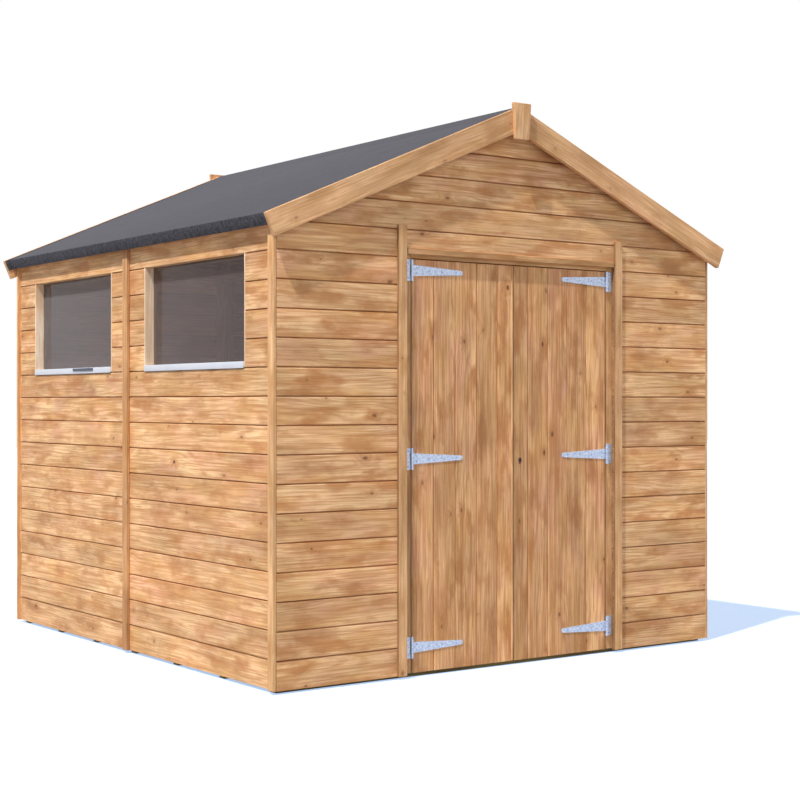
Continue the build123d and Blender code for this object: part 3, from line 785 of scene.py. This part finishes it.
# ---- Roof boards -----------------------------------------------------------------------------
# Tongued boards under the felt, laid level along the roof and nailed to the rafters.
roof_wood = planed_softwood(
    "planed_roof_board", ("#E6BE8B", "#B27B43", "#D5A276", "#C59B62", "#6E4327")
)
roof_angle = math.atan(roof_slope)
roof_pitch_width = 0.1


def lay_on_slope(piece, side):
    """Turn a piece drawn flat, with X down from the ridge, to lie on one slope of the roof."""
    work_on(piece)
    piece.rotation_euler = (0, roof_angle, 0)
    piece.location = (0, 0, ridge_z)
    settle()
    saw(piece, (0.0005, 0, 0), (-1, 0, 0))
    if side < 0:
        piece.scale.x = -1
        settle()
        open_up()
        bpy.ops.mesh.normals_make_consistent(inside=False)
        bpy.ops.object.mode_set(mode="OBJECT")


def roof_boards(name, node, side):
    """The boards of one slope, in a front and a rear sheet that meet over the truss."""
    low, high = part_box(node)
    reach = max(abs(low.x), abs(high.x))
    thickness = (high.z - ridge_z) * math.cos(roof_angle)
    run = (reach - thickness * math.sin(roof_angle)) / math.cos(roof_angle)
    lengths = []
    for start, end in ((low.y, -board_joint / 2), (board_joint / 2, high.y)):
        down = 0.0
        while down < run - 0.001:
            width = min(roof_pitch_width, run - down)
            lengths.append(
                plain_board(
                    "roof_board",
                    (down + board_joint / 2, start, 0),
                    (down + width - board_joint / 2, end, thickness),
                    0.0008,
                )
            )
            down += width
    slope = join(lengths, name)
    lay_on_slope(slope, side)
    fit(slope, "shed", "roof_timber", roof_wood, node)


roof_boards("right_roof_boards", "roof_boards_right", 1)
roof_boards("left_roof_boards", "roof_boards_left", -1)


# ---- Roof felt -------------------------------------------------------------------------------
# Bitumen felt with a fine mineral surface, turned down over the eaves and nailed there, with a
# second strip lapped over the ridge. Matt slate grey, darker and mottled where it is turned down.
felt, tree, out = new_finish("mineral_felt")
place = add_node(tree, "ShaderNodeTexCoord").outputs["Object"]
# Mineral grains are about 1 mm across and are drawn at 4 mm, so that they show.
grains = add_node(
    tree, "ShaderNodeTexVoronoi", None, {"Vector": place, "Scale": 260.0}
).outputs["Color"]
grain_tone = add_node(tree, "ShaderNodeSeparateColor", None, {"Color": grains}).outputs[0]
patches = add_node(
    tree,
    "ShaderNodeTexNoise",
    None,
    {"Vector": place, "Scale": 9.0, "Detail": 6.0, "Roughness": 0.65},
).outputs[0]
coarse = add_node(
    tree, "ShaderNodeTexNoise", None, {"Vector": place, "Scale": 70.0, "Detail": 3.0}
).outputs[0]
upright = add_node(
    tree,
    "ShaderNodeSeparateXYZ",
    None,
    {0: add_node(tree, "ShaderNodeNewGeometry").outputs["Normal"]},
).outputs[2]
slope_share = add_node(
    tree,
    "ShaderNodeMapRange",
    {"interpolation_type": "SMOOTHSTEP"},
    {"Value": upright, 1: 0.3, 2: 0.85},
).outputs[0]
flat_tone = add_node(
    tree,
    "ShaderNodeMix",
    {"data_type": "RGBA"},
    {0: patches, 6: srgb("#4A494F"), 7: srgb("#56555B")},
).outputs[2]
fold_share = add_node(
    tree, "ShaderNodeMapRange", None, {"Value": coarse, 1: 0.35, 2: 0.7}
).outputs[0]
fold_tone = add_node(
    tree,
    "ShaderNodeMix",
    {"data_type": "RGBA"},
    {0: fold_share, 6: srgb("#414147"), 7: srgb("#626169")},
).outputs[2]
colour = add_node(
    tree, "ShaderNodeMix", {"data_type": "RGBA"}, {0: slope_share, 6: fold_tone, 7: flat_tone}
).outputs[2]
speck = add_node(
    tree, "ShaderNodeMapRange", None, {"Value": grain_tone, 3: 0.86, 4: 1.14}
).outputs[0]
colour = add_node(
    tree, "ShaderNodeVectorMath", {"operation": "SCALE"}, {0: colour, "Scale": speck}
).outputs[0]
bump = add_node(
    tree, "ShaderNodeBump", None, {"Height": grain_tone, "Strength": 0.3, "Distance": 0.0008}
).outputs[0]
surface = add_node(
    tree,
    "ShaderNodeBsdfPrincipled",
    None,
    {"Base Color": colour, "Roughness": 0.92, "Normal": bump, "Specular IOR Level": 0.2},
).outputs[0]
tree.links.new(surface, out.inputs["Surface"])
press_down = 0.0042      # the ridge strip is stuck down flat along both of its edges
for node, name, edge in (
    ("roof_felt_left", "left_felt", 0.0014),
    ("roof_felt_right", "right_felt", 0.0014),
    ("ridge_felt_strip", "ridge_felt", 0.0008),
):
    sheet = join(timbers_of(node), name)
    if name == "ridge_felt":
        points = sheet.data.vertices
        rim = max(point.co.x for point in points) - 0.0005
        pick(sheet, "edges", lambda line: all(abs(points[i].co.x) > rim for i in line.vertices))
        bpy.ops.transform.translate(value=(0, 0, -press_down))
        bpy.ops.object.mode_set(mode="OBJECT")
    ease_edges(sheet, edge, 3)
    fit(sheet, "shed", "roof_felt", felt, node)

# At each end the felt is dressed up behind the bargeboard, and closes the gap beyond the fold.
verge_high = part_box("rear_bargeboards")[1]
felt_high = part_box("roof_felt_right")[1]
felt_end = felt_high.y
felt_lift = (felt_high.z - ridge_z) * math.cos(roof_angle)
verge_lift = (verge_high.z - ridge_z) * math.cos(roof_angle)
fold_run = (felt_high.x - felt_lift * math.sin(roof_angle)) / math.cos(roof_angle)
tip_run = (verge_high.x - verge_lift * math.sin(roof_angle)) / math.cos(roof_angle)
upturn_thickness = 0.0025
upturn_edge = 0.0006
upturn_top = verge_lift - 0.0008      # just under the bargeboard's top edge
ear_drop = 0.036
ear_start = fold_run - 0.004
ear_end = tip_run - 0.003
for side, name in ((-1, "left_felt_upturns"), (1, "right_felt_upturns")):
    strips = []
    for near, far in (
        (-felt_end, upturn_thickness - felt_end),
        (felt_end - upturn_thickness, felt_end),
    ):
        for part, start, foot, end in (
            ("upturn", 0, felt_lift - 0.001, fold_run),
            ("ear", ear_start, -ear_drop, ear_end),
        ):
            strips.append(
                plain_board(part, (start, near, foot), (end, far, upturn_top), upturn_edge)
            )
    upturns = join(strips, name)
    lay_on_slope(upturns, side)
    fit(upturns, "shed", "roof_felt", felt)


# ---- Bargeboards and finials -----------------------------------------------------------------
# Planed boards nailed over the ends of the roof, with a tapered block over each mitre. They are
# of paler wood than the strips.
verge_wood = planed_softwood(
    "planed_bargeboard", ("#F1C495", "#BD8957", "#E2AE88", "#D3A26D", "#744629"), knots=1.0
)
for node, name, edge in (
    ("front_bargeboards", "front_bargeboards_planed", 0.0022),
    ("rear_bargeboards", "rear_bargeboards_planed", 0.0022),
    ("finials", "finials_planed", 0.0018),
):
    timber_piece(node, name, verge_wood, "trim_timber", edge=edge)


# ---- Door leaves -----------------------------------------------------------------------------
# Upright tongued boards with a small V along every joint, nailed to three ledges. Two braces
# rise from the hinge side of each leaf.
door_wood = planed_softwood(
    "planed_door_board", ("#F7C590", "#B17241", "#E3AA8A", "#D3A366", "#5C341F"), knots=1.0
)
door_v = 0.0032
door_groove = 0.0014     # open joint between two boards
meeting_edge = 0.0008    # rounding of the two edges that meet
tongue_inset = 0.005     # face of the leaf to the tongue behind a joint
tongue_reach = 0.003     # tongue to either side of a joint, and its thickness
lock_low, lock_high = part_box("door_lock")
keyhole_x = lock_low.x + 0.020
keyhole_z = (lock_low.z + lock_high.z) / 2
keyhole_radius = 0.0075
keyhole_slot = (0.008, 0.1, 0.016)
slot_drop = 0.01
bead_width = 0.0075
bead_height = 0.003
bead_short = 0.002       # bead stops short of the leaf's top and foot


def cut_out(piece, tool):
    """Take the shape of a tool out of a piece, and remove the tool."""
    work_on(piece)
    cut = piece.modifiers.new("cut", "BOOLEAN")
    cut.object = tool
    cut.operation = "DIFFERENCE"
    cut.solver = "EXACT"
    bpy.ops.object.modifier_apply(modifier="cut")
    bpy.data.objects.remove(tool)


def cut_keyhole(piece, radius, sides, slot, drop):
    """Drill the round of the keyhole through a piece, and saw the slot below it."""
    face = piece.bound_box[0][1]
    bpy.ops.mesh.primitive_cylinder_add(
        vertices=sides,
        radius=radius,
        depth=0.1,
        location=(keyhole_x, face, keyhole_z),
        rotation=(math.pi / 2, 0, 0),
    )
    cut_out(piece, bpy.context.object)
    bpy.ops.mesh.primitive_cube_add(
        size=1, location=(keyhole_x, face, keyhole_z - drop), scale=slot
    )
    cut_out(piece, bpy.context.object)


for side, node, name in (
    (-1, "left_door_boards", "left_leaf_boards"),
    (1, "right_door_boards", "right_leaf_boards"),
):
    low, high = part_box(node)
    hinge_edge = low.x if side < 0 else high.x
    leaf_width = high.x - low.x
    lengths = []
    across = 0.0
    while across < leaf_width - 0.001:
        board_cover = min(pitch, leaf_width - across)
        one = hinge_edge - side * across
        other = hinge_edge - side * (across + board_cover)
        left, right = min(one, other), max(one, other)
        board = plain_board(
            name,
            (left + door_groove / 2, low.y, low.z),
            (right - door_groove / 2, high.y, high.z),
            0,
            run=2,
        )
        for x in (left + door_groove / 2, right - door_groove / 2):
            meets = across + board_cover > leaf_width - 0.001 and abs(x - other) < 0.001
            width, steps = (meeting_edge, 3) if meets else (door_v, 1)
            bevel_edges(board, edge_at(board, x=x, y=low.y), width, steps)
        if left < keyhole_x < right:
            cut_keyhole(board, keyhole_radius, 24, keyhole_slot, slot_drop)
            for layer in ("grain", "lot"):
                board.data.attributes.remove(board.data.attributes[layer])
            middle = Vector(((left + right) / 2, low.y, (low.z + high.z) / 2))
            mark_grain(board, Vector((0, 0, 1)), Vector((1, 0, 0)), Vector((0, 1, 0)), middle)
        lengths.append(board)
        across += board_cover
        if across < leaf_width - 0.001:
            lengths.append(
                plain_board(
                    "tongue",
                    (other - tongue_reach, low.y + tongue_inset, low.z),
                    (other + tongue_reach, low.y + tongue_inset + tongue_reach, high.z),
                    0,
                    run=2,
                )
            )
    if side < 0:
        # A slim bead along the meeting edge throws the rain clear of the gap.
        bead = plain_board(
            "meeting_bead",
            (high.x - bead_width, low.y - bead_height, low.z + bead_short),
            (high.x, low.y, high.z - bead_short),
            0,
            run=2,
        )
        rounded = edge_at(bead, x=high.x - bead_width, y=low.y - bead_height)
        bevel_edges(bead, rounded, 0.9 * bead_height, 4)
        fit(bead, "left_door", "door_timber", pale_strip_wood)
    leaf = join(lengths, name)
    body = "left_door" if side < 0 else "right_door"
    fit(leaf, body, "door_timber", door_wood, node)
for side in ("left", "right"):
    for part in ("ledges", "braces"):
        node = side + "_door_" + part
        timber_piece(node, node + "_planed", door_wood, "door_timber", side + "_door", 0.002)


# ---- Hinges ----------------------------------------------------------------------------------
# T-hinges of bright zinc-plated steel: a narrow plate screwed to the post, a long tapered strap
# screwed to the leaf, and a riveted pin.
zinc, tree, out = new_finish("bright_zinc_plate")
place = add_node(tree, "ShaderNodeTexCoord").outputs["Object"]
spangle = add_node(
    tree, "ShaderNodeTexNoise", None, {"Vector": place, "Scale": 110.0, "Detail": 4.0}
).outputs[0]
spangle = add_node(
    tree, "ShaderNodeMapRange", None, {"Value": spangle, 1: 0.36, 2: 0.62}
).outputs[0]
tone = add_node(
    tree,
    "ShaderNodeMix",
    {"data_type": "RGBA"},
    {0: spangle, 6: srgb("#A3AFC8"), 7: srgb("#D0D8E8")},
).outputs[2]
gloss = add_node(tree, "ShaderNodeMapRange", None, {"Value": spangle, 3: 0.34, 4: 0.5}).outputs[0]
surface = add_node(
    tree,
    "ShaderNodeBsdfPrincipled",
    None,
    {"Base Color": tone, "Roughness": gloss, "Metallic": 0.6},
).outputs[0]
tree.links.new(surface, out.inputs["Surface"])
for node in ("hinge_plates", "hinge_pins", "left_door_straps", "right_door_straps"):
    metal = frame["nodes"][node]
    metal.data.materials.clear()
    metal.data.materials.append(zinc)

# The screws are duller than the hinges.
dull_zinc, tree, out = new_finish("dull_zinc_screw")
scuff = add_node(
    tree,
    "ShaderNodeTexNoise",
    None,
    {"Vector": add_node(tree, "ShaderNodeTexCoord").outputs["Object"], "Scale": 350.0},
).outputs[0]
gloss = add_node(tree, "ShaderNodeMapRange", None, {"Value": scuff, 3: 0.35, 4: 0.6}).outputs[0]
surface = add_node(
    tree,
    "ShaderNodeBsdfPrincipled",
    None,
    {"Base Color": srgb("#97A0B4"), "Roughness": gloss, "Metallic": 0.8},
).outputs[0]
tree.links.new(surface, out.inputs["Surface"])

# One round-headed screw is modelled with its slot, and copied to every hole of the hinges.
screw_radius = 0.0036
screw_height = 0.0016
screw_dome = 0.0012
slot_width = 0.0009
deselect_all()
bpy.ops.mesh.primitive_cylinder_add(vertices=16, radius=screw_radius, depth=screw_height)
screw = bpy.context.object
screw.name = "hinge_screw"
pick(screw, "polygons", lambda face: face.normal.z > 0.9)
bpy.ops.mesh.bevel(offset=screw_dome, segments=3, affect="EDGES")
bpy.ops.object.mode_set(mode="OBJECT")
bpy.ops.mesh.primitive_cube_add(
    size=1, location=(0, 0, screw_height / 2), scale=(2.4 * screw_radius, slot_width, slot_width)
)
cut_out(screw, bpy.context.object)
work_on(screw)
bpy.ops.object.shade_smooth_by_angle(angle=math.radians(30))

sheet_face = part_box("left_door_boards")[0].y - 0.0025      # outside of the plates and straps
hinge_heights = (0.121, 0.8825, 1.644)
# Holes of a plate and of a strap: away from the pin, and up from the middle of the hinge.
plate_holes = ((0.017, 0.031), (0.023, 0.0), (0.017, -0.031))
strap_holes = ((0.026, 0.011), (0.026, -0.011), (0.088, 0.0), (0.155, 0.0), (0.228, 0.0))
screws = {"shed": [], "left_door": [], "right_door": []}
for joint in frame["joints"]:
    axis_x = joint["pos_m"][0]
    outward = -1 if axis_x < 0 else 1
    for height in hinge_heights:
        for away, up in plate_holes:
            screws["shed"].append((axis_x + outward * away, height + up))
        for away, up in strap_holes:
            screws[joint["child"]].append((axis_x - outward * away, height + up))
for body, places in screws.items():
    heads = []
    for x, z in places:
        head = copy_of(screw)
        head.rotation_euler = (math.pi / 2, chooser.uniform(0, math.pi), 0)
        head.location = (x, sheet_face, z)
        settle()
        heads.append(head)
    fit(join(heads, body + "_hinge_screws"), body, "zinc_steel", dull_zinc)
bpy.data.objects.remove(screw)


# ---- Lock ------------------------------------------------------------------------------------
# A rim lock with a black enamelled case, screwed to the inside of the right leaf.
def enamel_coat(name, colour):
    """Baked enamel: a hard even coat with a faint orange peel."""
    coat, tree, out = new_finish(name)
    place = add_node(tree, "ShaderNodeTexCoord").outputs["Object"]
    orange_peel = add_node(
        tree, "ShaderNodeTexNoise", None, {"Vector": place, "Scale": 400.0, "Detail": 2.0}
    ).outputs[0]
    peel = {"Height": orange_peel, "Strength": 0.15, "Distance": 0.0004}
    skin = {
        "Base Color": srgb(colour),
        "Roughness": 0.32,
        "Normal": add_node(tree, "ShaderNodeBump", None, peel).outputs[0],
    }
    surface = add_node(tree, "ShaderNodeBsdfPrincipled", None, skin).outputs[0]
    tree.links.new(surface, out.inputs["Surface"])
    return coat


enamel = enamel_coat("black_enamel", "#1B1B1C")
brown_enamel_painted_shade = enamel_coat("brown_enamel_painted_shade", "#4A1F08")
case = join(timbers_of("door_lock"), "rim_lock_case")
ease_edges(case, 0.002, 3)
fit(case, "right_door", "lock_steel", enamel, "door_lock")

# An oval cover round the keyhole, on the outside of the leaf, with a hole and slot for the key.
# Its dark brown is painted shade: it stands in for the dark of the keyhole.
cover_radius = 0.0085
cover_thickness = 0.0014
cover_drop = 0.003       # the oval is centred this far below the round of the hole
key_radius = 0.0035
key_slot = (0.003, 0.1, 0.01)
leaf_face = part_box("right_door_boards")[0].y
deselect_all()
bpy.ops.mesh.primitive_cylinder_add(
    vertices=40,
    radius=cover_radius,
    depth=cover_thickness,
    location=(keyhole_x, leaf_face - cover_thickness / 2, keyhole_z - cover_drop),
    rotation=(math.pi / 2, 0, 0),
)
cover = bpy.context.object
cover.name = "keyhole_cover"
cover.scale = (1, 1.35, 1)
settle()
cut_keyhole(cover, key_radius, 20, key_slot, key_slot[2] / 2)
ease_edges(cover, 0.0004)
fit(cover, "right_door", "lock_steel", brown_enamel_painted_shade)


# ---- Floor, light and camera -----------------------------------------------------------------
# A plain pale floor and backdrop, a soft key from the upper left, and an even sky. The floor and
# the sky are whiter to the eye, and in glass and metal, than in the light that they give.
def to_the_eye(tree):
    """1 for a ray that shows the backdrop: straight, in a mirror, or through glass."""
    rays = add_node(tree, "ShaderNodeLightPath").outputs
    seen = rays["Is Camera Ray"]
    for kind in ("Is Glossy Ray", "Is Transmission Ray"):
        seen = add_node(
            tree, "ShaderNodeMath", {"operation": "MAXIMUM"}, {0: seen, 1: rays[kind]}
        ).outputs[0]
    return seen


ground, tree, out = new_finish("pale_floor")
glow = add_node(
    tree, "ShaderNodeEmission", None, {"Color": srgb("#ADC5E5"), "Strength": 1.0}
).outputs[0]
shade = add_node(tree, "ShaderNodeBsdfDiffuse", None, {"Color": srgb("#BCBCBC")}).outputs[0]
shown = add_node(tree, "ShaderNodeAddShader", None, {0: glow, 1: shade}).outputs[0]
lit = add_node(tree, "ShaderNodeBsdfDiffuse", None, {"Color": srgb("#A2A09E")}).outputs[0]
mixed = add_node(
    tree, "ShaderNodeMixShader", None, {0: to_the_eye(tree), 1: lit, 2: shown}
).outputs[0]
tree.links.new(mixed, out.inputs["Surface"])
deselect_all()
bpy.ops.mesh.primitive_plane_add(size=60, location=(0, 0, 0))
floor = bpy.context.object
floor.name = "studio_floor"
floor.data.materials.append(ground)

world = bpy.context.scene.world or bpy.data.worlds.new("sky")
bpy.context.scene.world = world
world.use_nodes = True
tree = world.node_tree
tree.nodes.clear()
out = tree.nodes.new("ShaderNodeOutputWorld")
sky = add_node(
    tree, "ShaderNodeBackground", None, {"Color": srgb("#FAFDFF"), "Strength": 0.36}
).outputs[0]
white = add_node(
    tree, "ShaderNodeBackground", None, {"Color": srgb("#FFFFFF"), "Strength": 1.0}
).outputs[0]
mixed = add_node(
    tree, "ShaderNodeMixShader", None, {0: to_the_eye(tree), 1: sky, 2: white}
).outputs[0]
tree.links.new(mixed, out.inputs["Surface"])

light_path = Vector((9.75, 3.45, -16.0))
deselect_all()
bpy.ops.object.light_add(type="SUN", location=(-6, -4, 8))
key = bpy.context.object
key.name = "key_light"
key.data.energy = 3.5
key.data.angle = math.radians(1.4)
key.rotation_euler = light_path.to_track_quat("-Z", "Y").to_euler()

# A wide weak fill on the front wall.
bpy.ops.object.light_add(type="SUN", location=(0, -8, 4))
fill = bpy.context.object
fill.name = "fill_light"
fill.data.energy = 0.5
fill.data.angle = math.radians(60)
fill.rotation_euler = Vector((0.0, 1.0, -0.35)).to_track_quat("-Z", "Y").to_euler()

# Daylight that the floor passes on inside the shed.
bpy.ops.object.light_add(type="AREA", location=(-0.55, 0.4, 0.075), rotation=(math.pi, 0, 0))
inside = bpy.context.object
inside.name = "inside_light"
inside.data.shape = "RECTANGLE"
inside.data.size = 0.9
inside.data.size_y = 1.4
inside.data.energy = 5.0
inside.visible_camera = False

eye = Vector((-4.3049, -6.3780, 1.1123))
bpy.ops.object.camera_add(location=eye, rotation=(math.radians(90), 0, math.radians(-35.87)))
camera = bpy.context.object
camera.name = "camera"
camera.data.sensor_width = 36.0
camera.data.lens = 71.25
camera.data.shift_y = 0.0025
bpy.context.scene.camera = camera
bpy.context.scene.view_settings.view_transform = "Standard"
